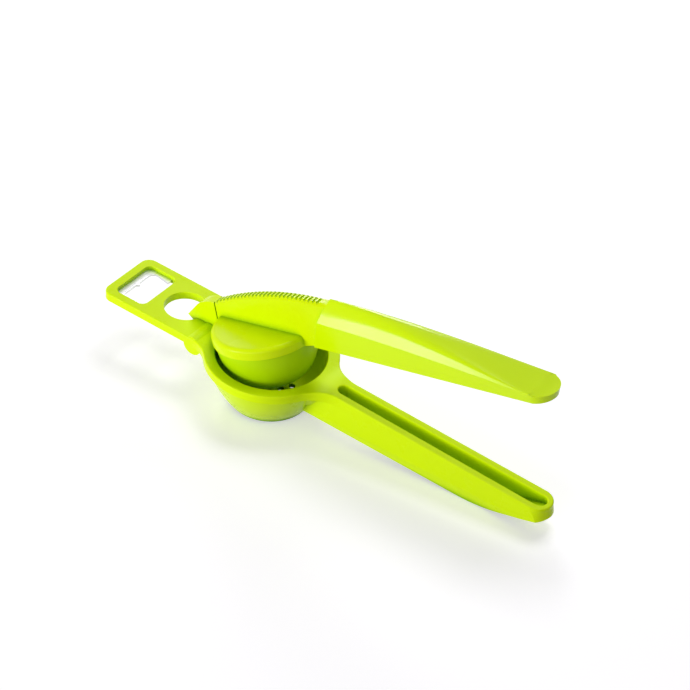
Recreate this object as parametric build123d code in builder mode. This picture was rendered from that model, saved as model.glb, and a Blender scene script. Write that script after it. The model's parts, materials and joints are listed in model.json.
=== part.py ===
from build123d import *
import os
from math import asin, atan2, cos, degrees, hypot, pi, radians, sin, sqrt, tan

os.makedirs("parts", exist_ok=True)

# A hinged lemon squeezer, standing open on a table. Sizes are in millimetres and degrees.
# Two frames are used. The deck frame has its origin in the middle of the bowl's mouth, x towards the
# end of the lower handle and z out of the bowl. The lever frame is the deck frame turned about the
# hinge by the opening angle, so the two fall together when the squeezer is shut.

# Bowl
bowl_bore = 56.0            # diameter of the mouth
rim_width = 6.0
rim_bevel = 0.5
bowl_depth = 28.0           # from the rim to the underside of the base
base_diameter = 41.0
base_rounding = 2.0
bowl_bulge = 1.25           # how far the outer wall bows out of a straight cone
bowl_floor = 2.4
bowl_wall = 2.3             # beside the base
cavity_bulge = 3.0
cavity_corner = 5.0
juice_hole = 3.4
juice_ring_pitch = 6.2
juice_rings = 2

# Tab with the cap window and the keyhole
tab_end = 94.75             # from the middle of the bowl
tab_width = 36.8
tab_thickness = 4.4
tab_corner = 5.5
tab_blend = 17.7            # concave blend from the tab into the rim
deck_rounding = 0.7
window_end = 89.9           # outer end of the cap window, from the middle of the bowl
window_length = 19.0
window_width = 27.6
window_corner = 3.6
keyhole_centre = 54.7
keyhole_diameter = 22.2
keyhole_mouth = 1.6         # rounding where the slot leaves the round hole

# Steel lip of the cap opener
plate_thickness = 1.2
plate_depth = 2.3           # top of the plate below the deck
plate_reach = 3.9           # how far it stands out of the window's end wall
plate_set = 2.6             # how far it is set into the walls
plate_side_reach = 1.4      # how far its arms stand out of the side walls at the window's end
plate_arm_reach = 3.2       # and at their own ends
plate_arm_length = 15.0
plate_tooth = 1.4
plate_tooth_width = 2.6
plate_corner = 3.0

# Hinge
hinge_x = 36.0              # behind the middle of the bowl
hinge_drop = 4.5            # below the rim
hinge_boss = 10.6
boss_span = 36.0            # over the two bosses
pin_diameter = 4.0
pin_length = 27.0
pin_play = 0.05             # round the pin in the lever's eye
plug_play = 0.02
plug_stem = 2.6
plug_head = 6.4
plug_head_height = 1.2
open_angle = 16.2

# Lower handle
handle_end = 165.2
handle_root_x = 40.0        # where its root width is measured
handle_root_width = 14.2
handle_tip_width = 15.2
handle_rise = 1.3           # its upper face above the rim's, measured at the rim's outer edge
handle_fall = 1.45          # slope of that face down to the tip
ramp_start = 29.0           # where the rim starts to rise to it
ramp_end = 41.0
handle_depth = 20.6         # at the belly
handle_root_depth = 19.2    # under the middle of the bowl
handle_blend = 21.0         # concave blend from the rim into the handle
valley_depth = 12.0         # how deep that blend goes
handle_draft = 2.0
keel_draft = 11.0           # slope of the strip below the side's crease
crease_root = 17.0          # depth of the crease
crease_tip = 11.6
crease_rounding = 6.0
belly_x = 117.0             # where the straight underside ends and curves up to the tip
belly_radius = 75.0
belly_turn = 19.5           # slope where that curve turns back
tip_depth = 8.4
end_draft = 10.0            # how the tip's face leans out below the deck
channel_start = 41.5
channel_tip_wall = 2.8      # of the handle, beyond the channel's round end
channel_root_width = 6.4
channel_tip_width = 7.6
channel_floor = 4.5
channel_edge = 0.4

# Press lever: web, nose and ribbed crest
web_thickness = 6.6
web_gap = 0.3               # each side of the web in the keyhole's slot
eye_gap = 0.5               # between the lever's eye and the end of that slot
nose_tip_x = -48.8
nose_tip_z = 3.2
nose_brow_x = -41.2
nose_brow_z = 10.2
nose_bulge = 1.0
crest_start_x = -29.3
crest_radius = 160.0
crest_top_x = 36.0
crest_top_z = 27.85
crest_width = 3.6
rib_start_x = -27.9
rib_count = 27
rib_pitch = 2.6
rib_groove = 1.5
rib_groove_depth = 0.9
relief_width = 0.7
relief_depth = 0.8
relief_x = -29.1
relief_bottom_z = 4.3

# Press flange and dome
flange_radius = 27.0
flange_shift = 1.2          # its middle behind the middle of the bowl, squeezer shut
flange_bottom = 1.3         # above the rim, squeezer shut
flange_thickness = 5.6
flange_rounding = 2.3
dome_step = 1.3             # the dome's wall inside the flange's edge
dome_height = 26.0
dome_bluntness = 3.3        # 2 is an ellipse, more is squarer
dome_wall = 2.2
spigot_height = 2.4
spigot_wall = 2.0
spigot_play = 0.15

# Upper grip on its tang
grip_front_x = 31.4         # where the front face would meet the rim's level
grip_front_lean = 23.7
grip_end = 170.4
grip_root_x = 40.0          # where the root sizes are measured
grip_tip_x = 160.0          # and the tip sizes
grip_root_width = 14.8
grip_tip_width = 20.4
grip_root_foot = 9.4        # width of the lower edge
grip_tip_foot = 17.4
grip_root_bottom = 2.8      # height of the lower edge
grip_tip_bottom = 4.9
grip_root_shoulder = 19.4   # height where the sides turn into the crown
grip_tip_shoulder = 10.2
grip_root_crown = 10.5      # height of the crown above that
grip_tip_crown = 0.5
shoulder_fall = 1.55        # how late the shoulder falls on its way to the tip
crown_fall = 1.2            # and how late the crown does
grip_end_draft = 14.0
grip_wall = 2.0
grip_front_wall = 2.6
crown_least = 0.4           # of the hollow
grip_rib = 1.6
grip_rib_lift = 2.0         # lower edge of a rib above the grip's lower edge
grip_rib_start = 52.0
grip_rib_pitch = 26.0
grip_rib_count = 4
tang_thickness = 4.0
tang_play = 0.15
tang_end = 142.0
tang_rise = 1.0             # its lower edge above the grip's lower edge
tang_drop = 2.4             # its upper edge below the grip's shoulder

# Screws from below, through lugs on the tang into bosses in the grip
screw_diameter = 2.5
screw_head = 4.4
screw_head_height = 1.5
screw_sink = 0.4            # of the head's face in the lug
screw_reach = 5.0           # in the grip's boss
screw_play = 0.15
thread_play = 0.02
screw_front_x = 65.0
screw_rear_x = 117.0
screw_slot = 0.6
lug_diameter = 6.4
lug_height = 5.5
boss_diameter = 6.0

# Cuts and trims run past the part by this much
cut_over = 1.0

# Worked-out sizes
rim_radius = bowl_bore / 2 + rim_width
base_radius = base_diameter / 2
boss_radius = hinge_boss / 2
slot_half = web_thickness / 2 + web_gap
cavity_base = base_radius - bowl_wall
flange_top = flange_bottom + flange_thickness
dome_radius = flange_radius - dome_step

# The squeezer stands on the rounded edge of the bowl's base and on the handle's belly. Its lean is
# that of the line that touches both roundings from below.
wall_run = rim_radius - base_radius
base_tilt = atan2(wall_run, bowl_depth) - 2 * atan2(2 * bowl_bulge, hypot(wall_run, bowl_depth))
base_middle = base_radius - base_rounding * tan((pi / 2 - base_tilt) / 2)
foot_run = belly_x - base_middle
foot_rise = (bowl_depth - base_rounding) - (handle_depth - belly_radius)
foot_gap = belly_radius - base_rounding
lean = atan2(foot_rise, foot_run) - asin(foot_gap / hypot(foot_run, foot_rise))
deck_height = (bowl_depth - base_rounding) * cos(lean) + base_middle * sin(lean) + base_rounding
deck_middle = (handle_end - tab_end) / 2 * cos(lean)

deck = Plane(
    origin=(-deck_middle, 0, deck_height),
    x_dir=(cos(lean), 0, -sin(lean)),
    z_dir=(sin(lean), 0, cos(lean)),
)
swing = radians(open_angle)
hinge_point = deck.origin - deck.x_dir * hinge_x - deck.z_dir * hinge_drop
lever_x = deck.x_dir * cos(swing) + deck.z_dir * sin(swing)
lever_z = deck.z_dir * cos(swing) - deck.x_dir * sin(swing)
lever = Plane(
    origin=hinge_point + lever_x * hinge_x + lever_z * hinge_drop, x_dir=lever_x, z_dir=lever_z
)
fall = radians(handle_fall)
handle_deck = Plane(
    origin=deck.origin + deck.z_dir * (handle_rise + rim_radius * tan(fall)),
    x_dir=deck.x_dir * cos(fall) - deck.z_dir * sin(fall),
    z_dir=deck.z_dir * cos(fall) + deck.x_dir * sin(fall),
)
hinge_side = Plane(origin=hinge_point, x_dir=deck.x_dir, z_dir=-deck.y_dir)
bowl_axis = Axis(deck.origin, deck.z_dir)


def side_view(frame):
    """Side view of a frame: local x runs along it and local y is up."""
    return Plane(origin=frame.origin, x_dir=frame.x_dir, z_dir=-frame.y_dir)


def station(frame, x):
    """Cross-section plane of a frame at x: local x is sideways and local y is up."""
    return Plane(origin=frame.origin + frame.x_dir * x, x_dir=frame.y_dir, z_dir=frame.x_dir)


def height_in(frame, shape):
    """Height of a shape's centre above a frame."""
    return (shape.center() - frame.origin).dot(frame.z_dir)


def between(x, x_a, value_a, x_b, value_b):
    """Straight-line value at x."""
    return value_a + (value_b - value_a) * (x - x_a) / (x_b - x_a)


def bowed(start, end, bulge):
    """Middle point of an arc from start to end that bows out to the left of the way."""
    run = (end[0] - start[0], end[1] - start[1])
    length = hypot(*run)
    return (
        (start[0] + end[0]) / 2 - run[1] / length * bulge,
        (start[1] + end[1]) / 2 + run[0] / length * bulge,
    )


# Lower handle outlines ---------------------------------------------------------------------------
def handle_half(x):
    """Half width of the lower handle's deck."""
    return between(x, handle_root_x, handle_root_width / 2, handle_end, handle_tip_width / 2)


def handle_top(x):
    """Height of the lower handle's upper face."""
    return handle_rise - (x - rim_radius) * tan(radians(handle_fall))


def handle_section(x):
    """Cross-section of the lower handle below its deck, deeper than its belly."""
    crease = between(x, handle_root_x, crease_root, handle_end, crease_tip)
    foot = handle_depth + base_rounding
    top = handle_half(x)
    side = top - (crease - tab_thickness) * tan(radians(handle_draft))
    bottom = side - (foot - crease) * tan(radians(keel_draft))
    with BuildSketch(station(deck, x)) as section:
        with BuildLine():
            Polyline(
                (-bottom, -foot),
                (bottom, -foot),
                (side, -crease),
                (top, -tab_thickness),
                (-top, -tab_thickness),
                (-side, -crease),
                close=True,
            )
        make_face()
    return section.sketch


def deck_profile():
    """Side view of the deck, which ramps up from the rim to the handle and then falls to the tip."""
    back = -tab_end - cut_over
    tip = handle_end + cut_over
    slope = tan(radians(handle_fall))
    with BuildSketch(side_view(deck)) as profile:
        with BuildLine():
            ramp = Spline(
                (ramp_start, 0), (ramp_end, handle_top(ramp_end)), tangents=((1, 0), (1, -slope))
            )
            Polyline(
                ramp @ 1,
                (tip, handle_top(tip)),
                (tip, -tab_thickness),
                (back, -tab_thickness),
                (back, 0),
                ramp @ 0,
            )
        make_face()
    return profile.sketch


def keel(inset):
    """Side view of the handle above its underside, drawn in by the inset."""
    depth = handle_depth - inset
    radius = belly_radius + inset
    turn = radians(belly_turn)
    turn_point = (belly_x + radius * sin(turn), -depth + radius * (1 - cos(turn)))
    beyond = handle_end + tip_depth
    beyond_rise = tip_depth * tan(turn / 2)
    with BuildSketch(side_view(deck)) as profile:
        with BuildLine():
            Polyline((0, handle_rise), (0, inset - handle_root_depth), (belly_x, -depth))
            TangentArc((belly_x, -depth), turn_point, tangent=(1, 0))
            TangentArc(turn_point, (handle_end, inset - tip_depth), tangent=(cos(turn), sin(turn)))
            Polyline(
                (handle_end, inset - tip_depth),
                (beyond, inset - tip_depth + beyond_rise),
                (beyond, handle_rise),
                (0, handle_rise),
            )
        make_face()
    return profile.sketch


def handle_plan(start, end, start_half, end_half):
    """Tapered outline with a round far end, drawn flat."""
    with BuildSketch() as plan:
        with BuildLine():
            Polyline(
                (start, start_half),
                (end - end_half, end_half),
                (end - end_half, -end_half),
                (start, -start_half),
                close=True,
            )
        make_face()
        with Locations((end - end_half, 0)):
            Circle(end_half)
    return plan.sketch


def rim_corners(sketch):
    """Corners of an outline that lie on the rim."""
    return sketch.vertices().filter_by(lambda v: abs(hypot(v.X, v.Y) - rim_radius) < 0.01)


def on_seam(edge):
    """True for a line across the deck where its upper faces meet."""
    place = (edge.center() - deck.origin).dot(deck.x_dir)
    return min(abs(place - ramp_start), abs(place - ramp_end)) < 0.01


def channel_plan(grow=0.0):
    """Outline of the handle's channel, grown by a margin."""
    root_half = channel_root_width / 2
    tip_half = channel_tip_width / 2
    root_x = channel_start + root_half
    with BuildSketch() as plan:
        end = handle_end - channel_tip_wall + grow
        add(handle_plan(root_x, end, root_half + grow, tip_half + grow))
        with Locations((root_x, 0)):
            Circle(root_half + grow)
    return plan.sketch


# Opener plate ------------------------------------------------------------------------------------
with BuildPart() as opener_plate:
    with BuildSketch(deck.offset(-plate_depth)) as plate_outline:
        plate_back = -window_end - plate_set
        plate_front = -window_end + plate_reach
        arm_front = -window_end + plate_arm_length
        plate_half = window_width / 2 + plate_set
        throat_half = window_width / 2 - plate_side_reach
        arm_half = window_width / 2 - plate_arm_reach
        with BuildLine():
            Polyline(
                (plate_back, -plate_half),
                (arm_front, -plate_half),
                (arm_front, -arm_half),
                (plate_front, -throat_half),
                (plate_front, throat_half),
                (arm_front, arm_half),
                (arm_front, plate_half),
                (plate_back, plate_half),
                close=True,
            )
        make_face()
        throat = plate_outline.vertices().filter_by(
            lambda v: abs(v.X - plate_front) < 0.01 and abs(abs(v.Y) - throat_half) < 0.01
        )
        fillet(throat, plate_corner)
        outer = plate_outline.vertices().filter_by(lambda v: abs(v.X - plate_back) < 0.01)
        fillet(outer, tab_corner - plate_set)
        with BuildLine():
            Polyline(
                (plate_front, -plate_tooth_width / 2),
                (plate_front + plate_tooth, 0),
                (plate_front, plate_tooth_width / 2),
                (plate_front - plate_tooth, 0),
                close=True,
            )
        make_face()
    extrude(amount=-plate_thickness)
opener_plate.part.label = "opener_plate"
export_step(opener_plate.part, "parts/opener_plate.step")

# Hinge pin and the plug over its far end ---------------------------------------------------------
with BuildPart() as hinge_pin:
    with BuildSketch(hinge_side) as pin_section:
        Circle(pin_diameter / 2)
    extrude(amount=pin_length / 2, both=True)
hinge_pin.part.label = "hinge_pin"
export_step(hinge_pin.part, "parts/hinge_pin.step")

with BuildPart() as pin_plug:
    with BuildSketch(hinge_side.offset(-boss_span / 2)) as head_section:
        Circle(plug_head / 2 - plug_play)
    extrude(amount=plug_head_height)
    with BuildSketch(hinge_side.offset(-boss_span / 2)) as stem_section:
        Circle(pin_diameter / 2 - plug_play)
    extrude(amount=plug_stem)
    outer_rim = pin_plug.edges().filter_by(GeomType.CIRCLE).sort_by(Axis.Y)[-1]
    chamfer(outer_rim, plug_head_height / 4)
pin_plug.part.label = "pin_plug"
export_step(pin_plug.part, "parts/pin_plug.step")

# Lower body --------------------------------------------------------------------------------------
with BuildPart() as handle_core:
    loft([handle_section(x) for x in (0, handle_end + handle_depth)], ruled=True)
    long_edges = handle_core.edges().filter_by(lambda e: e.length > handle_end)
    fillet(long_edges.sort_by(bowl_axis)[2:4], crease_rounding)
    extrude(keel(0), amount=rim_radius, both=True, mode=Mode.INTERSECT)
    with BuildSketch(deck.offset(-tab_thickness)) as core_outline:
        add(handle_plan(0, handle_end, handle_half(0), handle_half(handle_end)))
    extrude(amount=-bowl_depth, taper=-end_draft, mode=Mode.INTERSECT)

with BuildPart() as valley:
    wall_angle = degrees(atan2(rim_radius - base_radius, bowl_depth))
    valley_radius = rim_radius - deck_rounding
    with BuildSketch(deck.offset(-deck_rounding)) as valley_outline:
        Circle(valley_radius)
        add(handle_plan(0, handle_root_x + handle_blend, handle_half(0), handle_half(handle_root_x)))
        corners = valley_outline.vertices().filter_by(
            lambda v: abs(hypot(v.X, v.Y) - valley_radius) < 0.01 and v.X > 0
        )
        fillet(corners, handle_blend)
    extrude(amount=-valley_depth, taper=wall_angle)

with BuildPart() as channel:
    with BuildSketch(deck.offset(handle_rise)) as channel_outline:
        add(channel_plan())
    extrude(amount=-bowl_depth)
    extrude(keel(channel_floor), amount=rim_radius, both=True, mode=Mode.INTERSECT)

with BuildPart() as lower_body:
    # deck: rim, tab and the handle's upper face
    with BuildSketch(deck.offset(-tab_thickness)) as deck_outline:
        Circle(rim_radius)
        with Locations((-tab_end / 2, 0)):
            Rectangle(tab_end, tab_width)
        fillet(deck_outline.vertices().group_by(Axis.X)[0], tab_corner)
        add(handle_plan(0, handle_end, handle_half(0), handle_half(handle_end)))
        fillet(rim_corners(deck_outline).group_by(Axis.X)[0], tab_blend)
        fillet(rim_corners(deck_outline).group_by(Axis.X)[-1], handle_blend)
    extrude(amount=tab_thickness + handle_rise)
    extrude(deck_profile(), amount=rim_radius + cut_over, both=True, mode=Mode.INTERSECT)
    deck_tops = lower_body.faces().filter_by(lambda f: f.normal_at().dot(deck.z_dir) > 0.9)
    fillet(deck_tops.edges().filter_by(lambda e: not on_seam(e)), deck_rounding)
    add(handle_core.part)
    add(valley.part)

    # bowl
    with BuildSketch(side_view(deck)) as bowl_profile:
        wall_start = (rim_radius, -deck_rounding)
        wall_end = (base_radius, -bowl_depth)
        with BuildLine():
            Polyline((0, -bowl_depth), (0, -deck_rounding), wall_start)
            ThreePointArc(wall_start, bowed(wall_start, wall_end, bowl_bulge), wall_end)
            Line(wall_end, (0, -bowl_depth))
        make_face()
        base_edge = bowl_profile.vertices().sort_by(Axis.Y).filter_by(lambda v: v.X > 1)[0]
        fillet(base_edge, base_rounding)
    revolve(axis=bowl_axis)

    # hinge bosses, reaching up into the tab
    with BuildSketch(hinge_side) as boss_section:
        Circle(boss_radius)
        with Locations((0, (hinge_drop - deck_rounding) / 2)):
            Rectangle(2 * boss_radius, hinge_drop - deck_rounding)
    extrude(amount=boss_span / 2, both=True)

    # cavity of the bowl
    with BuildSketch(side_view(deck)) as cavity_profile:
        mouth = (bowl_bore / 2, 0)
        foot = (cavity_base, -bowl_depth + bowl_floor)
        with BuildLine():
            middle = (0, -bowl_depth + bowl_floor)
            Polyline(foot, middle, (0, cut_over), (bowl_bore / 2, cut_over), mouth)
            ThreePointArc(mouth, bowed(mouth, foot, cavity_bulge), foot)
        make_face()
        corner = cavity_profile.vertices().sort_by(Axis.Y).filter_by(lambda v: v.X > 1)[0]
        fillet(corner, cavity_corner)
    revolve(axis=bowl_axis, mode=Mode.SUBTRACT)
    bore_edge = lower_body.edges().filter_by(
        lambda e: e.geom_type == GeomType.CIRCLE and abs(e.radius - bowl_bore / 2) < 0.01
    )
    chamfer(bore_edge.sort_by(bowl_axis)[-1], rim_bevel)

    # juice holes
    with BuildSketch(deck.offset(-bowl_depth + bowl_floor + cut_over)) as drain:
        Circle(juice_hole / 2)
        for ring in range(1, juice_rings + 1):
            with PolarLocations(ring * juice_ring_pitch, 6 * ring):
                Circle(juice_hole / 2)
    extrude(amount=-bowl_floor - 2 * cut_over, mode=Mode.SUBTRACT)

    # slot for the web and the lever's eye, and the round of the keyhole
    with BuildSketch(deck.offset(cut_over)) as keyhole:
        with Locations((-keyhole_centre, 0)):
            Circle(keyhole_diameter / 2)
        slot_end = -hinge_x + boss_radius + eye_gap
        with Locations(((slot_end - keyhole_centre) / 2, 0)):
            Rectangle(slot_end + keyhole_centre, 2 * slot_half)
        mouths = keyhole.vertices().filter_by(
            lambda v: abs(hypot(v.X + keyhole_centre, v.Y) - keyhole_diameter / 2) < 0.01
        )
        fillet(mouths, keyhole_mouth)
    extrude(amount=-cut_over - hinge_drop - boss_radius - eye_gap, mode=Mode.SUBTRACT)

    # cap window with the pocket of its steel lip
    with BuildSketch(deck.offset(cut_over)) as window:
        with Locations((-window_end + window_length / 2, 0)):
            RectangleRounded(window_length, window_width, window_corner)
    extrude(amount=-tab_thickness - 2 * cut_over, mode=Mode.SUBTRACT)
    add(opener_plate.part, mode=Mode.SUBTRACT)

    # pin bore, blind on the near side, and the channel in the handle
    with BuildSketch(hinge_side.offset(pin_length / 2)) as bore:
        Circle(pin_diameter / 2)
    extrude(amount=-pin_length / 2 - boss_span, mode=Mode.SUBTRACT)
    with BuildSketch(hinge_side.offset(plug_head_height - boss_span / 2)) as plug_seat:
        Circle(plug_head / 2)
    extrude(amount=-boss_span / 2, mode=Mode.SUBTRACT)
    add(channel.part, mode=Mode.SUBTRACT)
    with BuildSketch(handle_deck) as channel_mouth:
        add(channel_plan(channel_edge))
    extrude(amount=-2 * channel_edge, taper=45, mode=Mode.SUBTRACT)
lower_body.part.label = "lower_body"
export_step(lower_body.part, "parts/lower_body.step")


# Press lever ------------------------------------------------------------------------------------
grip_front = Plane(
    origin=lever.origin + lever.x_dir * grip_front_x,
    x_dir=lever.y_dir,
    z_dir=lever.x_dir * cos(radians(grip_front_lean)) - lever.z_dir * sin(radians(grip_front_lean)),
)
screw_places = (screw_front_x, screw_rear_x)
first_station = grip_front_x - 3 * grip_front_wall
last_station = grip_end + 3 * grip_wall
grip_stations = [first_station + (last_station - first_station) * step / 7 for step in range(8)]


def crest_z(x):
    """Height of the crest's arc."""
    return crest_top_z - crest_radius + sqrt(crest_radius**2 - (x - crest_top_x) ** 2)


def grip_share(x):
    """Share of the way from the grip's root to its tip, held at the two ends."""
    return min(1.0, max(0.0, (x - grip_root_x) / (grip_tip_x - grip_root_x)))


def grip_half(x):
    """Half width of the grip at its shoulder."""
    return between(x, grip_root_x, grip_root_width / 2, grip_tip_x, grip_tip_width / 2)


def grip_bottom(x):
    """Height of the grip's lower edge."""
    return between(x, grip_root_x, grip_root_bottom, grip_tip_x, grip_tip_bottom)


def grip_shoulder(x):
    """Height where the grip's sides turn into its crown."""
    fall = grip_root_shoulder - grip_tip_shoulder
    return grip_root_shoulder - fall * grip_share(x) ** shoulder_fall


def grip_crown(x):
    """Height of the grip's crown above its shoulder."""
    rise = grip_root_crown - grip_tip_crown
    return grip_tip_crown + rise * max(0.0, cos(pi / 2 * grip_share(x))) ** crown_fall


def grip_section(x, inset=0.0, lift=0.0):
    """Cross-section of the grip at x, drawn in by the inset, with its lower edge lifted."""
    foot_half = between(x, grip_root_x, grip_root_foot / 2, grip_tip_x, grip_tip_foot / 2)
    slope = (grip_half(x) - foot_half) / (grip_shoulder(x) - grip_bottom(x))
    apex = grip_shoulder(x) + grip_crown(x) - inset
    crown = max(grip_crown(x) - inset, min(crown_least, grip_crown(x)))
    shoulder = apex - crown
    half = grip_half(x) - inset - slope * (grip_shoulder(x) - shoulder)
    bottom = grip_bottom(x) + lift
    foot = half - slope * (shoulder - bottom)
    pull = 4 / 3 * (sqrt(2) - 1)
    with BuildSketch(station(lever, x)) as section:
        with BuildLine():
            Polyline((-half, shoulder), (-foot, bottom), (foot, bottom), (half, shoulder))
            Bezier(
                (half, shoulder),
                (half, shoulder + pull * crown),
                (pull * half, apex),
                (0, apex),
            )
            Bezier(
                (0, apex),
                (-pull * half, apex),
                (-half, shoulder + pull * crown),
                (-half, shoulder),
            )
        make_face()
    return section.sketch


def tang_profile(play):
    """Side view of the tang, grown by the play."""
    start = grip_front_x - grip_front_wall
    end = tang_end + play
    steps = [between(step, 0, start, 4, end) for step in range(5)]
    with BuildSketch(side_view(lever)) as profile:
        with BuildLine():
            top = Spline([(x, grip_shoulder(x) - tang_drop + play) for x in steps])
            foot = grip_bottom(start) + tang_rise - play
            heel = grip_bottom(end) + tang_rise - play
            Polyline(top @ 0, (start, foot), (end, heel), top @ 1)
        make_face()
    return profile.sketch


def lug_top(x):
    """Height of the lug's upper face."""
    return grip_bottom(x) + tang_rise + lug_height


with BuildPart() as press_lever:
    # web with its nose and eye
    with BuildSketch(side_view(lever)) as web_profile:
        web_end = grip_front_x + 2 * grip_front_wall + crest_top_z * tan(radians(grip_front_lean))
        slot_side = -hinge_x + boss_radius
        crest_start = (crest_start_x, crest_z(crest_start_x))
        with BuildLine():
            Line((nose_tip_x, nose_tip_z), (nose_brow_x, nose_brow_z))
            brow = (nose_brow_x, nose_brow_z)
            ThreePointArc(brow, bowed(brow, crest_start, nose_bulge), crest_start)
            ThreePointArc(crest_start, (0, crest_z(0)), (web_end, crest_z(web_end)))
            Polyline(
                (web_end, crest_z(web_end)),
                (web_end, grip_bottom(web_end)),
                (grip_front_x, grip_bottom(grip_front_x)),
                (flange_radius - flange_shift, flange_bottom),
                (slot_side + flange_bottom, flange_bottom),
                (slot_side, 0),
                (slot_side, -hinge_drop),
                (-hinge_x, -hinge_drop),
                (-hinge_x - boss_radius, -hinge_drop),
                (nose_tip_x, nose_tip_z),
            )
        make_face()
        with Locations((-hinge_x, -hinge_drop)):
            Circle(boss_radius)
    extrude(amount=web_thickness / 2, both=True)
    split(bisect_by=grip_front, keep=Keep.BOTTOM)
    crest_edges = press_lever.edges().filter_by(
        lambda e: e.geom_type == GeomType.CIRCLE and abs(e.radius - crest_radius) < 0.01
    )
    chamfer(crest_edges, (web_thickness - crest_width) / 2)

    # grooves between the crest's ribs, spaced along its arc
    with BuildSketch(side_view(lever)) as grooves:
        groove_track = crest_radius - rib_groove_depth + rib_groove / 2
        for rib in range(rib_count):
            turn = asin((rib_start_x - crest_top_x) / crest_radius) + rib * rib_pitch / crest_radius
            across = crest_top_x + groove_track * sin(turn)
            up = crest_top_z - crest_radius + groove_track * cos(turn)
            with Locations((across, up)):
                Circle(rib_groove / 2)
    extrude(amount=web_thickness, both=True, mode=Mode.SUBTRACT)

    # relief line down each side of the nose
    for side in (1, -1):
        with BuildSketch(side_view(lever).offset(side * web_thickness / 2)) as relief:
            with Locations((relief_x, (relief_bottom_z + crest_top_z) / 2)):
                Rectangle(relief_width, crest_top_z - relief_bottom_z)
        extrude(amount=-side * relief_depth, mode=Mode.SUBTRACT)

    # flange
    with BuildSketch(lever.offset(flange_bottom)) as flange_outline:
        with Locations((-flange_shift, 0)):
            Circle(flange_radius)
    extrude(amount=flange_thickness)
    flange_rims = press_lever.edges().filter_by(
        lambda e: e.geom_type == GeomType.CIRCLE and abs(e.radius - flange_radius) < 0.01
    )
    fillet(flange_rims.filter_by(lambda e: height_in(lever, e) > flange_top - 0.01), flange_rounding)

    # spigot that centres the dome
    with BuildSketch(lever.offset(flange_bottom)) as spigot_outline:
        with Locations((-flange_shift, 0)):
            Circle(dome_radius - dome_wall - spigot_play)
            Circle(dome_radius - dome_wall - spigot_play - spigot_wall, mode=Mode.SUBTRACT)
    extrude(amount=-spigot_height)

    # tang inside the grip, with a lug for each screw and room for the grip's boss above it
    extrude(tang_profile(0), amount=tang_thickness / 2, both=True)
    for screw_x in screw_places:
        with BuildSketch(lever.offset(lug_top(screw_x) - lug_height)) as lug:
            with Locations((screw_x, 0)):
                Circle(lug_diameter / 2)
        extrude(amount=lug_height)
        with BuildSketch(lever.offset(lug_top(screw_x))) as boss_room:
            with Locations((screw_x, 0)):
                Circle(boss_diameter / 2 + tang_play)
        extrude(amount=crest_top_z, mode=Mode.SUBTRACT)
        with BuildSketch(lever.offset(lug_top(screw_x) - lug_height - cut_over)) as head_room:
            with Locations((screw_x, 0)):
                Circle(screw_head / 2 + screw_play)
        extrude(amount=screw_head_height + screw_sink + cut_over, mode=Mode.SUBTRACT)
        with BuildSketch(lever.offset(lug_top(screw_x))) as shank_room:
            with Locations((screw_x, 0)):
                Circle(screw_diameter / 2 + screw_play)
        extrude(amount=-lug_height, mode=Mode.SUBTRACT)

    # bore for the pin
    with BuildSketch(side_view(lever)) as eye_bore:
        with Locations((-hinge_x, -hinge_drop)):
            Circle(pin_diameter / 2 + pin_play)
    extrude(amount=web_thickness, both=True, mode=Mode.SUBTRACT)
press_lever.part.label = "press_lever"
export_step(press_lever.part, "parts/press_lever.step")


# Dome under the flange ---------------------------------------------------------------------------
def dome_curve(inset):
    """Half of the dome's outline from the flange to the bottom, drawn in by the inset."""
    radius = dome_radius - inset
    height = dome_height - inset
    shares = [sin(pi / 2 * step / 7) for step in range(8)]
    points = [(radius * (1 - share**2) ** (1 / dome_bluntness), -height * share) for share in shares]
    return points


with BuildPart() as press_dome:
    dome_frame = Plane(
        origin=lever.origin - lever.x_dir * flange_shift + lever.z_dir * flange_bottom,
        x_dir=lever.x_dir,
        z_dir=-lever.y_dir,
    )
    with BuildSketch(dome_frame) as dome_profile:
        with BuildLine():
            outside = Spline(dome_curve(0), tangents=((0, -1), (-1, 0)))
            inside = Spline(dome_curve(dome_wall), tangents=((0, -1), (-1, 0)))
            Line(outside @ 0, inside @ 0)
            Line(outside @ 1, inside @ 1)
        make_face()
    revolve(axis=Axis(dome_frame.origin, lever.z_dir))
press_dome.part.label = "press_dome"
export_step(press_dome.part, "parts/press_dome.step")


# Upper grip --------------------------------------------------------------------------------------
def grip_form(inset, front, lift):
    """The grip's outer form, or with an inset its hollow, which runs out below."""
    end = grip_end - inset
    end_half = grip_half(grip_end - grip_tip_width / 2) - inset
    with BuildPart() as form:
        with BuildSketch(lever.offset(grip_tip_shoulder)) as end_outline:
            add(handle_plan(0, end, end_half + grip_root_width, end_half))
        extrude(amount=grip_root_shoulder)
        extrude(end_outline.sketch, amount=-2 * grip_tip_shoulder, taper=grip_end_draft)
        loft([grip_section(x, inset, lift) for x in grip_stations], mode=Mode.INTERSECT)
        split(bisect_by=grip_front.offset(front), keep=Keep.TOP)
    return form.part


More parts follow.
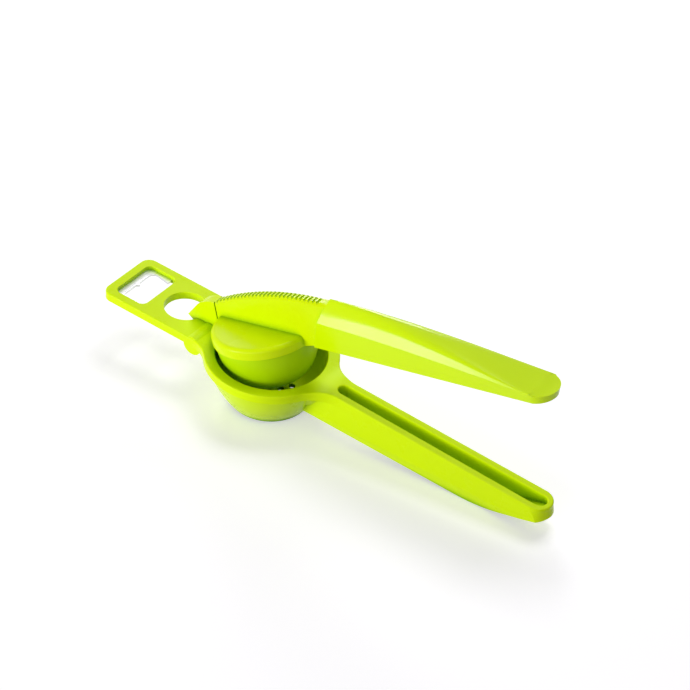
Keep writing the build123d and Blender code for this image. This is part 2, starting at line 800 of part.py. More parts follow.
with BuildPart() as upper_grip:
    add(grip_form(0, 0, 0))
    add(grip_form(grip_wall, grip_front_wall, -grip_wall), mode=Mode.SUBTRACT)

    # ribs that hold the tang
    for rib in range(grip_rib_count):
        rib_x = grip_rib_start + rib * grip_rib_pitch
        extrude(grip_section(rib_x, grip_wall / 2, grip_rib_lift), amount=grip_rib / 2, both=True)
    extrude(tang_profile(tang_play), amount=tang_thickness / 2 + tang_play, both=True, mode=Mode.SUBTRACT)

    # bosses for the screws
    for screw_x in screw_places:
        with BuildSketch(lever.offset(lug_top(screw_x))) as boss:
            with Locations((screw_x, 0)):
                Circle(boss_diameter / 2)
        roof = grip_shoulder(screw_x) + grip_crown(screw_x) - grip_wall
        extrude(amount=roof - lug_top(screw_x))
        with BuildSketch(lever.offset(lug_top(screw_x))) as pilot:
            with Locations((screw_x, 0)):
                Circle(screw_diameter / 2 + thread_play)
        extrude(amount=screw_reach + screw_diameter / 2, mode=Mode.SUBTRACT)
upper_grip.part.label = "upper_grip"
export_step(upper_grip.part, "parts/upper_grip.step")

# Grip screws -------------------------------------------------------------------------------------
for place, screw_x in zip(("front", "rear"), screw_places):
    face = lug_top(screw_x) - lug_height + screw_sink
    with BuildPart() as grip_screw:
        with BuildSketch(lever.offset(face)) as head:
            with Locations((screw_x, 0)):
                Circle(screw_head / 2)
        extrude(amount=screw_head_height)
        with BuildSketch(lever.offset(face)) as shank:
            with Locations((screw_x, 0)):
                Circle(screw_diameter / 2)
        extrude(amount=lug_height - screw_sink + screw_reach)
        with BuildSketch(lever.offset(face)) as drive:
            with Locations((screw_x, 0)):
                Rectangle(screw_head - 2 * screw_slot, screw_slot)
                Rectangle(screw_slot, screw_head - 2 * screw_slot)
        extrude(amount=screw_head_height / 2, mode=Mode.SUBTRACT)
    grip_screw.part.label = "grip_screw_" + place
    export_step(grip_screw.part, "parts/grip_screw_" + place + ".step")
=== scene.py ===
"""Finishes, camera and studio for a hinged lemon squeezer that stands open on a table."""

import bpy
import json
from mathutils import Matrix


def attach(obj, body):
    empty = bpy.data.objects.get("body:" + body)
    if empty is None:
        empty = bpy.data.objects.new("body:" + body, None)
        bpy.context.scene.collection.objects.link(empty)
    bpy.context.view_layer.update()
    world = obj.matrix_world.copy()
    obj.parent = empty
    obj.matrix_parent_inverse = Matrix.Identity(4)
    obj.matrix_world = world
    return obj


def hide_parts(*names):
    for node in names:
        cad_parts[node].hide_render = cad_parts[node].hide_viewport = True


bl_info = {
    "name": "Hinged Lemon Squeezer",
    "version": (1, 0, 0),
    "blender": (4, 5, 0),
    "location": "View3D > Sidebar > Squeezer",
    "description": "Dresses the packed squeezer and sets up its studio",
    "category": "Object",
}

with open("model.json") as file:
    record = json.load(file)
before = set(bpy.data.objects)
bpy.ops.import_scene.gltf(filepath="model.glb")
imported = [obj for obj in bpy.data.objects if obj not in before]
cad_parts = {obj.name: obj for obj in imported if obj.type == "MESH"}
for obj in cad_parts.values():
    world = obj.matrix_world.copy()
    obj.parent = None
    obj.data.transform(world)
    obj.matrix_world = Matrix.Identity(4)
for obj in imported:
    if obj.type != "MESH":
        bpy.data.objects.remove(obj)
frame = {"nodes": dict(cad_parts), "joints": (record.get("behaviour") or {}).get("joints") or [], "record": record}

import json
from math import atan2, cos, hypot, pi, radians, sin, tan

import bmesh
import bpy
from bpy.props import FloatProperty, FloatVectorProperty, PointerProperty
from mathutils import Matrix, Vector

WHITE = (1.0, 1.0, 1.0, 1.0)

# Lengths are in metres. The deck is the flat top that the bowl's rim and the tab share.
HINGE_BEHIND = 0.036        # hinge to the middle of the bowl, along the deck
HINGE_BELOW = 0.0045        # hinge below the deck

# Sections of the upper grip's solid, by their place along the lever.
GRIP_FRONT = 0.0314         # where the plane of the front face meets the lever's x axis
FRONT_SLOPE = tan(radians(23.7))
GRIP_ROOT = 0.040
GRIP_TIP = 0.160
GRIP_END = 0.172
ROOT_HALF = 0.0074          # half width at the root, and what it gains up to the tip
HALF_GAIN = 0.0028
ROOT_SHOULDER = 0.0194      # height of the shoulder line at the root, and its fall to the tip
SHOULDER_FALL = 0.0092
SHOULDER_BEND = 1.55
TIP_RISE = 0.0005           # crown over the shoulder line at the tip, and what the root has more
ROOT_EXTRA_RISE = 0.0100
RISE_BEND = 1.2

# The crown that the skin has in place of the solid's.
FLANK_SHARE = 0.55          # most of the crown's rise that a flank takes
FLANK_START = 0.0030        # rise of a flank at the root, and how fast it grows from there
FLANK_GROWTH = 0.05
CORNER_RISE = 0.0013        # where the flank bends over to the top
CORNER_SHARE = 0.6          # of the rise over the flank
FLANK_TURN = radians(42.0)  # where the flank ends on the solid's round crown
TIP_FOOT = 0.0049           # heights between which the tip starts to fall
TIP_HEAD = 0.0102

# How the skin is picked out and cut, while the solid's crown has a radius of 1.
LENGTHWAYS = 0.5            # a lengthways face's normal leans less than this along x
SKIN_RADIUS = 0.95          # the crown's inner face is nearer to its middle
FACE_SLACK = 0.01           # below the shoulder line
POINT_SLACK = 0.001
CROWN_STEPS = (14, 28, 38, 42, 46, 50, 54, 60, 66, 72, 78, 84, 90)      # in degrees
CUT_GAP = 1e-7
STATION_STEP = 0.003        # in metres, as x isn't stretched
STATIONS = 48
FRONT_SLACK = 0.0001
MERGE_GAP = 1e-6
SHARP_EDGE = radians(24.0)

# Scale of the steel's grain along each axis. A small one draws the grain out.
LIP_GRAIN = (1.0, 0.03, 1.0)
PIN_GRAIN = (1.0, 0.05, 1.0)
SCREW_GRAIN = (1.0, 1.0, 0.1)

# Studio.
LAMP_TARGET = Vector((0.02, 0.0, 0.05))
FLOOR_REACH = 4.0
SENSOR_WIDTH = 36.0         # in millimetres


# Frame -------------------------------------------------------------------------------------------
def deck_frame():
    """Frame of the bowl's mouth: x towards the lower handle's end, z out of the bowl."""
    mounts = {mount["name"]: mount for mount in frame["record"]["mounts"]}
    up = Vector(mounts["hanging_hole"]["axis"]).normalized()
    across = Vector((0.0, 1.0, 0.0))
    along = across.cross(up)
    hinge = Vector(frame["joints"][0]["pos_m"])
    origin = hinge + along * HINGE_BEHIND + up * HINGE_BELOW
    axes = Matrix((along, across, up)).transposed()
    return Matrix.Translation(origin) @ axes.to_4x4()


def lever_frame():
    """Frame that rides on the press lever, at rest. It is the deck's frame when the tool is shut."""
    joint = frame["joints"][0]
    hinge = Matrix.Translation(joint["pos_m"])
    opening = Matrix.Rotation(-radians(joint["range_deg"][0]), 4, Vector(joint["axis"]))
    return hinge @ opening @ hinge.inverted() @ deck_frame()


# Upper grip's skin -------------------------------------------------------------------------------
def grip_sizes(x):
    """Half width, shoulder height and crown rise of the grip's solid at x along the lever."""
    share = (x - GRIP_ROOT) / (GRIP_TIP - GRIP_ROOT)
    held = min(1.0, max(0.0, share))
    half = ROOT_HALF + HALF_GAIN * share
    shoulder = ROOT_SHOULDER - SHOULDER_FALL * held ** SHOULDER_BEND
    rise = TIP_RISE + ROOT_EXTRA_RISE * max(0.0, cos(pi / 2 * held)) ** RISE_BEND
    return half, shoulder, rise


def tip_drop(grip, x, z):
    """How far a point near the grip's end sits below the solid's level end."""
    share = min(1.0, max(0.0, (z - TIP_FOOT) / (TIP_HEAD - TIP_FOOT)))
    return grip.tip_fall * max(0.0, x - GRIP_TIP) * share


def crown_point(grip, x, turn):
    """Distance from the middle and height of the crown at a turn of the solid's crown.

    The turn goes from 0 at the shoulder line to pi / 2 at the top. The flank is straight, and the rest
    is a Bezier curve from the flank's upper end to the level middle of the top.
    """
    half, shoulder, rise = grip_sizes(x)
    flank = min(grip.flank_rise, FLANK_SHARE * rise, FLANK_START + FLANK_GROWTH * (x - GRIP_ROOT))
    corner = half - flank * tan(grip.flank_lean)
    if turn < FLANK_TURN:
        step = turn / FLANK_TURN
        return half + (corner - half) * step, shoulder + flank * step
    step = (turn - FLANK_TURN) / (pi / 2 - FLANK_TURN)
    bend_rise = min(CORNER_RISE, CORNER_SHARE * (rise - flank))
    bend = corner - bend_rise * tan(grip.flank_lean)
    brow = bend - (rise - flank - bend_rise) * tan(grip.brow_lean)
    points = ((corner, flank), (bend, flank + bend_rise), (brow, rise), (0.0, rise))
    weights = ((1 - step) ** 3, 3 * step * (1 - step) ** 2, 3 * step ** 2 * (1 - step), step ** 3)
    across = sum(weight * point[0] for weight, point in zip(weights, points))
    return across, shoulder + sum(weight * point[1] for weight, point in zip(weights, points))


def straighten(shape):
    """Stretches the grip so that its solid's crown is a half cylinder of radius 1."""
    for vert in shape.verts:
        half, shoulder, rise = grip_sizes(vert.co.x)
        vert.co.y /= half
        vert.co.z = (vert.co.z - shoulder) / rise


def on_crown(point, slack):
    """Whether a point of the straightened grip is on the crown's outer skin."""
    return point.z > -slack and hypot(point.y, point.z) > SKIN_RADIUS


def cut_crown(shape, faces):
    """Cuts the crown's faces at stations along the grip and at turns round it."""
    geometry = list(faces)
    geometry += list({edge for face in faces for edge in face.edges})
    geometry += list({vert for face in faces for vert in face.verts})
    cuts = [((GRIP_END - STATION_STEP * step, 0, 0), (1, 0, 0)) for step in range(STATIONS)]
    for degrees in CROWN_STEPS:
        for turn in {radians(degrees), pi - radians(degrees)}:
            cuts.append(((0, 0, 0), (0, -sin(turn), cos(turn))))
    for place, normal in cuts:
        geometry = bmesh.ops.bisect_plane(
            shape, geom=geometry, dist=CUT_GAP, plane_co=place, plane_no=normal
        )["geom"]


def recrown(grip, shape):
    """Brings the straightened grip back to size with the skin's own crown and falling tip."""
    for vert in shape.verts:
        x, y, z = vert.co
        half, shoulder, rise = grip_sizes(x)
        if on_crown(vert.co, POINT_SLACK):
            across, height = crown_point(grip, x, atan2(max(0.0, z), abs(y)))
            if abs(x - GRIP_FRONT - (shoulder + z * rise) * FRONT_SLOPE) < FRONT_SLACK:
                x = GRIP_FRONT + height * FRONT_SLOPE
            vert.co = (x, across if y > 0 else -across, height)
        else:
            vert.co = (x, y * half, shoulder + z * rise)
        vert.co.z -= tip_drop(grip, x, vert.co.z)


def grip_skin(grip, node):
    """Copy of the grip's solid whose crown has straight flanks under a flatter top."""
    to_lever = lever_frame().inverted() @ node.matrix_world
    shape = bmesh.new()
    shape.from_mesh(node.data)
    bmesh.ops.remove_doubles(shape, verts=shape.verts, dist=MERGE_GAP)
    bmesh.ops.transform(shape, matrix=to_lever, verts=shape.verts)
    shape.normal_update()
    lengthways = [face for face in shape.faces if abs(face.normal.x) < LENGTHWAYS]
    straighten(shape)
    cut_crown(shape, [
        face for face in lengthways if all(on_crown(vert.co, FACE_SLACK) for vert in face.verts)
    ])
    recrown(grip, shape)
    bmesh.ops.transform(shape, matrix=to_lever.inverted(), verts=shape.verts)
    shape.normal_update()
    for face in shape.faces:
        face.smooth = True
    for edge in shape.edges:
        edge.smooth = edge.calc_face_angle(pi) < SHARP_EDGE
    mesh = bpy.data.meshes.new("grip_skin")
    shape.to_mesh(mesh)
    shape.free()
    # the solid's own corner normals no longer fit
    corner_normals = mesh.attributes.get("custom_normal")
    if corner_normals:
        mesh.attributes.remove(corner_normals)
    skin = bpy.data.objects.new("grip_skin", mesh)
    skin.matrix_world = node.matrix_world
    bpy.context.scene.collection.objects.link(skin)
    return skin


# Node helpers ------------------------------------------------------------------------------------
class Weave:
    """Node tree of a material or world, with short calls for the nodes that it is made of."""

    def __init__(self, owner):
        owner.use_nodes = True
        self.owner = owner
        self.nodes = owner.node_tree.nodes

    def add(self, kind, **settings):
        """New node with its plain settings."""
        node = self.nodes.new(kind)
        for key, value in settings.items():
            setattr(node, key, value)
        return node

    def link(self, source, target):
        """Joins an output to an input."""
        self.owner.node_tree.links.new(source, target)

    def noise(self, vector, scale, detail=2.0, roughness=0.5):
        """Noise from about 0.3 to 0.7."""
        node = self.add("ShaderNodeTexNoise")
        node.inputs["Scale"].default_value = scale
        node.inputs["Detail"].default_value = detail
        node.inputs["Roughness"].default_value = roughness
        self.link(vector, node.inputs["Vector"])
        return node.outputs["Fac"]

    def spread(self, value, between, to):
        """Maps a value from between two levels to two others."""
        node = self.add("ShaderNodeMapRange")
        node.inputs["From Min"].default_value, node.inputs["From Max"].default_value = between
        node.inputs["To Min"].default_value, node.inputs["To Max"].default_value = to
        self.link(value, node.inputs["Value"])
        return node.outputs["Result"]

    def larger(self, first, second):
        """The larger of two values."""
        node = self.add("ShaderNodeMath", operation="MAXIMUM")
        self.link(first, node.inputs[0])
        self.link(second, node.inputs[1])
        return node.outputs["Value"]

    def bump(self, height, distance, strength, shader):
        """Raises the surface of a shader."""
        node = self.add("ShaderNodeBump")
        node.inputs["Distance"].default_value = distance
        node.inputs["Strength"].default_value = strength
        self.link(height, node.inputs["Height"])
        self.link(node.outputs["Normal"], shader.inputs["Normal"])

    def seen(self):
        """1 for camera, glossy and transmission rays, and 0 for the rest."""
        path = self.add("ShaderNodeLightPath")
        mirrored = self.larger(path.outputs["Is Glossy Ray"], path.outputs["Is Transmission Ray"])
        return self.larger(path.outputs["Is Camera Ray"], mirrored)


class Finish(Weave):
    """Weave of a piece's new material, in the piece's own coordinates."""

    def __init__(self, name):
        super().__init__(bpy.data.materials.new(name))
        self.shader = self.nodes["Principled BSDF"]
        self.place = self.add("ShaderNodeTexCoord").outputs["Object"]

    def stretched(self, scale):
        """The piece's coordinates, scaled along each axis."""
        node = self.add("ShaderNodeMapping")
        node.inputs["Scale"].default_value = scale
        self.link(self.place, node.inputs["Vector"])
        return node.outputs["Vector"]

    def mix(self, factor, first, second):
        """Blends two colours. Each is a colour or a socket."""
        node = self.add("ShaderNodeMix", data_type="RGBA")
        self.link(factor, node.inputs["Factor"])
        # sockets go by number here, because each type of mix has an A, a B and a Result
        for socket, colour in ((node.inputs[6], first), (node.inputs[7], second)):
            if isinstance(colour, bpy.types.NodeSocket):
                self.link(colour, socket)
            else:
                socket.default_value = colour
        return node.outputs[2]

    def edges(self, radius):
        """1 along sharp edges and 0 on open faces."""
        bevel = self.add("ShaderNodeBevel", samples=4)
        bevel.inputs["Radius"].default_value = radius
        flat = self.add("ShaderNodeNewGeometry").outputs["Normal"]
        dot = self.add("ShaderNodeVectorMath", operation="DOT_PRODUCT")
        self.link(bevel.outputs["Normal"], dot.inputs[0])
        self.link(flat, dot.inputs[1])
        return self.spread(dot.outputs["Value"], (1.0, 0.85), (0.0, 1.0))

    def gap_shade_mask(self, reach):
        """1 where ambient occlusion finds gaps and corners and 0 on open faces; the mask paints shade there."""
        closed = self.add("ShaderNodeAmbientOcclusion", samples=8)
        closed.inputs["Distance"].default_value = reach
        return self.spread(closed.outputs["AO"], (0.8, 0.35), (0.0, 1.0))


# Finishes ----------------------------------------------------------------------------------------
def shaded(colour, *shares):
    """A colour scaled by one share, or by one for each channel, with full alpha."""
    if len(shares) == 1:
        shares = shares * 3
    return tuple(min(1.0, channel * share) for channel, share in zip(colour, shares)) + (1.0,)


def moulded_plastic(name, colour, roughness, peel, shine):
    """Moulded plastic with faint flow marks, orange peel, rubbed edges and painted shade in gaps and corners."""
    finish = Finish(name)
    cloud = finish.noise(finish.place, scale=28.0, detail=3.0)
    flow = finish.noise(finish.stretched((0.25, 1.0, 1.0)), scale=90.0, detail=4.0)
    smear = finish.noise(finish.place, scale=55.0, detail=5.0, roughness=0.6)
    ripple = finish.noise(finish.place, scale=900.0)
    rubbed = finish.edges(radius=0.0006)
    # painted shade: ambient occlusion marks gaps and corners, which get a dark green and a rougher skin
    painted_gap_shade = finish.larger(finish.gap_shade_mask(reach=0.006), finish.gap_shade_mask(reach=0.0012))

    tone = finish.mix(cloud, shaded(colour, 0.965), shaded(colour, 1.035))
    tone = finish.mix(finish.spread(flow, (0.35, 0.65), (0.0, 0.12)), tone, shaded(colour, 1.08))
    tone = finish.mix(
        finish.spread(rubbed, (0.0, 1.0), (0.0, 0.16)), tone, shaded(colour, 1.25, 1.12, 1.0)
    )
    # painted shade in gaps and corners
    tone = finish.mix(painted_gap_shade, tone, shaded(colour, 0.28, 0.50, 0.0))
    smeared = finish.spread(smear, (0.3, 0.7), (roughness - 0.04, roughness + 0.05))
    finish.link(tone, finish.shader.inputs["Base Color"])
    finish.link(finish.larger(smeared, painted_gap_shade), finish.shader.inputs["Roughness"])
    finish.bump(ripple, distance=0.0001, strength=peel, shader=finish.shader)
    finish.shader.inputs["IOR"].default_value = 1.49
    finish.shader.inputs["Specular IOR Level"].default_value = shine
    finish.shader.inputs["Subsurface Weight"].default_value = 0.08
    finish.shader.inputs["Subsurface Radius"].default_value = (0.0016, 0.0022, 0.0004)
    finish.shader.inputs["Subsurface Scale"].default_value = 1.0
    return finish.owner


def brushed_steel(name, colour, roughness, grain):
    """Steel with a fine grain, rubbed edges and small stains."""
    finish = Finish(name)
    lines = finish.noise(finish.stretched(grain), scale=1400.0, detail=3.0)
    stain = finish.noise(finish.place, scale=130.0, detail=4.0)
    rubbed = finish.edges(radius=0.0003)
    tone = finish.mix(stain, shaded(colour, 0.88), shaded(colour, 1.06))
    tone = finish.mix(finish.spread(rubbed, (0.0, 1.0), (0.0, 0.5)), tone, shaded(colour, 1.2))
    grained = finish.spread(lines, (0.3, 0.7), (roughness - 0.08, roughness + 0.1))
    finish.link(tone, finish.shader.inputs["Base Color"])
    finish.link(grained, finish.shader.inputs["Roughness"])
    finish.bump(lines, distance=0.00005, strength=0.35, shader=finish.shader)
    finish.shader.inputs["Metallic"].default_value = 1.0
    return finish.owner


def dress(name, material):
    """Gives a carried-over part its finish."""
    mesh = frame["nodes"][name].data
    mesh.materials.clear()
    mesh.materials.append(material)


# Studio ------------------------------------------------------------------------------------------
def floor_paper(colour, lift):
    """Pale paper that reads white where it is lit and keeps a soft shadow."""
    weave = Weave(bpy.data.materials.new("floor_paper"))
    weave.nodes.remove(weave.nodes["Principled BSDF"])
    paper = weave.add("ShaderNodeBsdfDiffuse")
    paper.inputs["Color"].default_value = (*colour, 1.0)
    grain = weave.noise(weave.add("ShaderNodeTexCoord").outputs["Generated"], scale=40.0)
    weave.bump(grain, distance=0.0002, strength=0.1, shader=paper)
    glow = weave.add("ShaderNodeEmission")
    glow.inputs["Color"].default_value = WHITE
    glow.inputs["Strength"].default_value = lift
    lifted = weave.add("ShaderNodeAddShader")
    weave.link(paper.outputs["BSDF"], lifted.inputs[0])
    weave.link(glow.outputs["Emission"], lifted.inputs[1])
    choice = weave.add("ShaderNodeMixShader")
    weave.link(weave.seen(), choice.inputs["Fac"])
    weave.link(paper.outputs["BSDF"], choice.inputs[1])
    weave.link(lifted.outputs["Shader"], choice.inputs[2])
    weave.link(choice.outputs["Shader"], weave.nodes["Material Output"].inputs["Surface"])
    return weave.owner


def lay_floor(paper):
    """Level sheet that the squeezer stands on."""
    mesh = bpy.data.meshes.new("floor")
    corners = [(FLOOR_REACH * x, FLOOR_REACH * y, 0) for x, y in ((-1, -1), (1, -1), (1, 1), (-1, 1))]
    mesh.from_pydata(corners, [], [(0, 1, 2, 3)])
    mesh.materials.append(paper)
    floor = bpy.data.objects.new("floor", mesh)
    bpy.context.scene.collection.objects.link(floor)
    return floor


def studio_world(level):
    """World that is plain white where it is seen and a soft fill on the object."""
    weave = Weave(bpy.data.worlds.new("studio_world"))
    background = weave.nodes["Background"]
    background.inputs["Color"].default_value = WHITE
    weave.link(weave.spread(weave.seen(), (0.0, 1.0), (level, 1.0)), background.inputs["Strength"])
    return weave.owner


def softbox(name, radiance, azimuth, elevation, distance, size):
    """Rectangular area lamp that faces the squeezer, at degrees from the x axis and over the floor."""
    turn, rise = radians(azimuth), radians(elevation)
    away = Vector((cos(turn) * cos(rise), sin(turn) * cos(rise), sin(rise)))
    light = bpy.data.lights.new(name, "AREA")
    light.shape = "RECTANGLE"
    light.size, light.size_y = size
    light.energy = radiance * pi * size[0] * size[1]
    lamp = bpy.data.objects.new(name, light)
    lamp.location = LAMP_TARGET + away * distance
    lamp.rotation_mode = "QUATERNION"
    lamp.rotation_quaternion = (-away).to_track_quat("-Z", "Y")
    lamp.visible_camera = False
    bpy.context.scene.collection.objects.link(lamp)
    return lamp


def hang_lamps(studio, floor):
    """Four soft boxes. The streak box doesn't light the floor, where the others make the shadow."""
    streak = softbox(
        "streak_box", studio.streak, azimuth=-124.0, elevation=8.0, distance=0.62, size=(0.2, 0.17)
    )
    unlit = bpy.data.collections.new("out_of_streak")
    unlit.objects.link(floor)
    unlit.collection_objects[0].light_linking.link_state = "EXCLUDE"
    streak.light_linking.receiver_collection = unlit
    softbox("fill_box", studio.fill, azimuth=-86.0, elevation=18.0, distance=1.1, size=(1.0, 0.6))
    softbox("edge_box", studio.edge, azimuth=129.0, elevation=18.0, distance=0.9, size=(0.32, 0.23))
    softbox("top_box", studio.top, azimuth=100.0, elevation=66.0, distance=1.2, size=(0.7, 0.5))


def stand_camera(studio):
    """Camera that looks at a point in the deck's frame."""
    forward = Vector((
        -sin(studio.azimuth) * cos(studio.elevation),
        cos(studio.azimuth) * cos(studio.elevation),
        -sin(studio.elevation),
    ))
    side = forward.cross(Vector((0, 0, 1))).normalized()
    above = side.cross(forward)
    right = side * cos(studio.roll) + above * sin(studio.roll)
    axes = Matrix((right, right.cross(forward), -forward)).transposed().to_4x4()
    place = Matrix.Translation(Vector(studio.target) - forward * studio.distance)
    camera = bpy.data.objects.new("camera", bpy.data.cameras.new("camera"))
    camera.matrix_world = deck_frame() @ place @ axes
    camera.data.lens = studio.lens
    camera.data.sensor_width = SENSOR_WIDTH
    bpy.context.scene.collection.objects.link(camera)
    return camera


# Settings ----------------------------------------------------------------------------------------
def colour_property(name, description, default):
    return FloatVectorProperty(
        name=name, description=description, subtype="COLOR", size=3, min=0.0, max=1.0, default=default
    )


def share_property(name, description, default):
    return FloatProperty(
        name=name, description=description, subtype="FACTOR", min=0.0, max=1.0, default=default
    )


def angle_property(name, description, degrees):
    return FloatProperty(name=name, description=description, subtype="ANGLE", default=radians(degrees))


def radiance_property(name, description, default):
    return FloatProperty(name=name, description=description, min=0.0, default=default)


class PlasticSettings(bpy.types.PropertyGroup):
    body_colour: colour_property("Body", "Colour of the bowl, tab and lower handle", (0.63, 0.85, 0.0))
    body_roughness: share_property("Body roughness", "Roughness of the bowl, tab and handle", 0.28)
    lever_colour: colour_property("Lever", "Colour of the press lever", (0.62, 0.81, 0.0))
    lever_roughness: share_property("Lever roughness", "Roughness of the press lever", 0.26)
    dome_colour: colour_property("Dome", "Colour of the press dome", (0.45, 0.70, 0.0))
    dome_roughness: share_property("Dome roughness", "Roughness of the press dome", 0.42)
    grip_colour: colour_property("Grip", "Colour of the upper grip", (0.62, 0.86, 0.0))
    grip_roughness: share_property("Grip roughness", "Roughness of the upper grip", 0.18)
    shine: share_property("Shine", "Specular level of the plastic", 0.10)
    grip_shine: share_property("Grip shine", "Specular level of the upper grip", 0.15)
    peel: share_property("Orange peel", "Strength of the moulded skin's ripple", 0.06)


class GripSettings(bpy.types.PropertyGroup):
    flank_rise: FloatProperty(
        name="Flank rise", description="Most that a flank rises over the shoulder line",
        unit="LENGTH", min=0.0, default=0.0045, precision=4,
    )
    flank_lean: angle_property("Flank lean", "Lean of the grip's flanks from upright", 25.0)
    brow_lean: angle_property("Brow lean", "Lean of the turn between a flank and the top", 33.0)
    tip_fall: FloatProperty(
        name="Tip fall", description="Slope at which the grip's end dips", min=0.0, default=0.12
    )


class SteelSettings(bpy.types.PropertyGroup):
    lip_colour: colour_property("Lip", "Colour of the cap opener's steel lip", (0.70, 0.71, 0.72))
    pin_colour: colour_property("Pin", "Colour of the hinge pin", (0.60, 0.61, 0.62))
    screw_colour: colour_property("Screws", "Colour of the grip's screws", (0.62, 0.62, 0.63))
    roughness: share_property("Roughness", "Roughness of the lip and the pin", 0.3)
    screw_roughness: share_property("Screw roughness", "Roughness of the grip's screws", 0.36)


class StudioSettings(bpy.types.PropertyGroup):
    azimuth: angle_property("Azimuth", "Camera's turn round the bowl", 32.89)
    elevation: angle_property("Elevation", "Camera's height over the deck", 39.95)
    roll: angle_property("Roll", "Camera's turn about its own axis", 5.31)
    distance: FloatProperty(
        name="Distance", description="Camera to its target", unit="LENGTH", default=1.2205, min=0.3
    )
    target: FloatVectorProperty(
        name="Target", description="Point in the deck frame that the camera looks at", size=3,
        unit="LENGTH", default=(0.0242, 0.0284, 0.0),
    )
    lens: FloatProperty(
        name="Lens", description="Focal length in millimetres", unit="CAMERA", default=127.94, min=20.0
    )
    streak: radiance_property("Streak box", "Radiance of the low box by the grip's near flank", 19.5)
    fill: radiance_property("Fill box", "Radiance of the broad box in front", 2.5)
    edge: radiance_property("Edge box", "Radiance of the low box behind the grip", 12.5)
    top: radiance_property("Top box", "Radiance of the high box behind", 6.2)
    world: radiance_property("World", "Strength of the world's fill on the object", 0.16)
    floor_colour: colour_property("Floor", "Colour of the floor's paper", (0.75, 0.73, 0.77))
    floor_lift: radiance_property("Floor lift", "Light that the seen floor has of its own", 0.48)


# Operators ---------------------------------------------------------------------------------------
class SQUEEZER_OT_body(bpy.types.Operator):
    """Finish the bowl with its tab and handle, and the plug over the pin"""

    bl_idname = "squeezer.body"
    bl_label = "Lower Body"

    def execute(self, context):
        plastic = context.scene.squeezer_plastic
        material = moulded_plastic(
            "body_plastic", plastic.body_colour, plastic.body_roughness, plastic.peel, plastic.shine
        )
        dress("lower_body", material)
        dress("pin_plug", material)
        return {"FINISHED"}


class SQUEEZER_OT_lever(bpy.types.Operator):
    """Finish the press lever with its web and ribbed crest"""

    bl_idname = "squeezer.lever"
    bl_label = "Press Lever"

    def execute(self, context):
        plastic = context.scene.squeezer_plastic
        dress("press_lever", moulded_plastic(
            "lever_plastic", plastic.lever_colour, plastic.lever_roughness, plastic.peel, plastic.shine
        ))
        return {"FINISHED"}


class SQUEEZER_OT_dome(bpy.types.Operator):
    """Finish the press dome"""

    bl_idname = "squeezer.dome"
    bl_label = "Press Dome"

    def execute(self, context):
        plastic = context.scene.squeezer_plastic
        dress("press_dome", moulded_plastic(
            "dome_plastic", plastic.dome_colour, plastic.dome_roughness, plastic.peel, plastic.shine
        ))
        return {"FINISHED"}


class SQUEEZER_OT_grip(bpy.types.Operator):
    """Build the upper grip's crowned skin and finish it"""

    bl_idname = "squeezer.grip"
    bl_label = "Upper Grip"

    def execute(self, context):
        plastic = context.scene.squeezer_plastic
        skin = grip_skin(context.scene.squeezer_grip, frame["nodes"]["upper_grip"])
        skin.data.materials.append(moulded_plastic(
            "grip_plastic", plastic.grip_colour, plastic.grip_roughness, plastic.peel, plastic.grip_shine
        ))
        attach(skin, "lever")
        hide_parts("upper_grip")
        return {"FINISHED"}


class SQUEEZER_OT_steel(bpy.types.Operator):
    """Finish the opener's lip, the hinge pin and the screws"""

    bl_idname = "squeezer.steel"
    bl_label = "Steel Parts"

    def execute(self, context):
        steel = context.scene.squeezer_steel
        lip = brushed_steel("opener_steel", steel.lip_colour, steel.roughness, LIP_GRAIN)
        pin = brushed_steel("pin_steel", steel.pin_colour, steel.roughness, PIN_GRAIN)
        screw = brushed_steel("screw_steel", steel.screw_colour, steel.screw_roughness, SCREW_GRAIN)
        dress("opener_plate", lip)
        dress("hinge_pin", pin)
        dress("grip_screw_front", screw)
        dress("grip_screw_rear", screw)
        return {"FINISHED"}


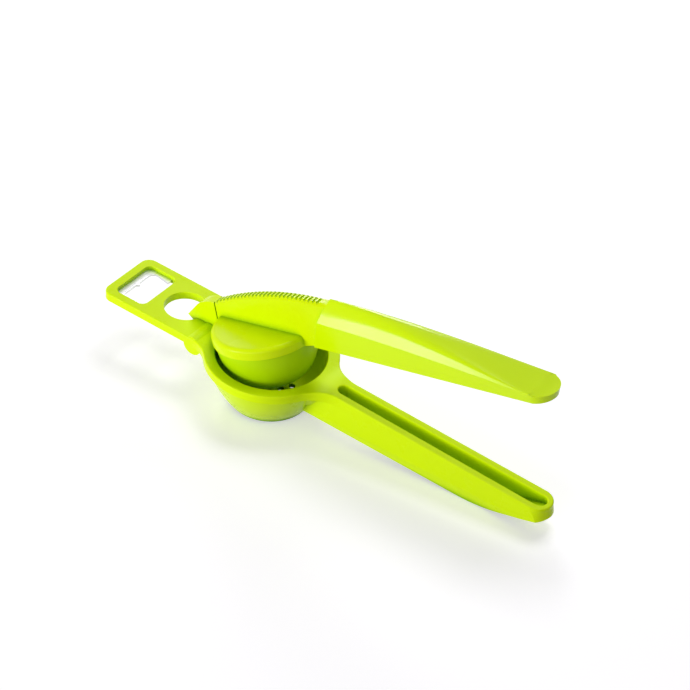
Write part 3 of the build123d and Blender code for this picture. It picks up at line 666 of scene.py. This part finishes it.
class SQUEEZER_OT_stage(bpy.types.Operator):
    """Set up the world, the floor, the lamps and the camera"""

    bl_idname = "squeezer.stage"
    bl_label = "Studio"

    def execute(self, context):
        scene = context.scene
        studio = scene.squeezer_studio
        scene.view_settings.view_transform = "Standard"
        scene.world = studio_world(studio.world)
        floor = lay_floor(floor_paper(studio.floor_colour, studio.floor_lift))
        hang_lamps(studio, floor)
        scene.camera = stand_camera(studio)
        return {"FINISHED"}


# Panel and registration --------------------------------------------------------------------------
SETTINGS = {
    "squeezer_plastic": PlasticSettings,
    "squeezer_grip": GripSettings,
    "squeezer_steel": SteelSettings,
    "squeezer_studio": StudioSettings,
}
OPERATORS = (
    SQUEEZER_OT_body,
    SQUEEZER_OT_lever,
    SQUEEZER_OT_dome,
    SQUEEZER_OT_grip,
    SQUEEZER_OT_steel,
    SQUEEZER_OT_stage,
)


class SQUEEZER_PT_panel(bpy.types.Panel):
    """Finishes and studio of the squeezer"""

    bl_idname = "SQUEEZER_PT_panel"
    bl_label = "Lemon Squeezer"
    bl_space_type = "VIEW_3D"
    bl_region_type = "UI"
    bl_category = "Squeezer"

    def draw(self, context):
        for name, settings in SETTINGS.items():
            box = self.layout.box()
            for setting in settings.__annotations__:
                box.prop(getattr(context.scene, name), setting)
        for operator in OPERATORS:
            self.layout.operator(operator.bl_idname)


def register():
    for name, settings in SETTINGS.items():
        bpy.utils.register_class(settings)
        setattr(bpy.types.Scene, name, PointerProperty(type=settings))
    for operator in OPERATORS:
        bpy.utils.register_class(operator)
    bpy.utils.register_class(SQUEEZER_PT_panel)


def unregister():
    bpy.utils.unregister_class(SQUEEZER_PT_panel)
    for operator in reversed(OPERATORS):
        bpy.utils.unregister_class(operator)
    for name, settings in reversed(SETTINGS.items()):
        delattr(bpy.types.Scene, name)
        bpy.utils.unregister_class(settings)


def main():
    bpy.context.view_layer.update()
    register()
    bpy.ops.squeezer.body()
    bpy.ops.squeezer.lever()
    bpy.ops.squeezer.dome()
    bpy.ops.squeezer.grip()
    bpy.ops.squeezer.steel()
    bpy.ops.squeezer.stage()


if __name__ == "__main__":
    main()
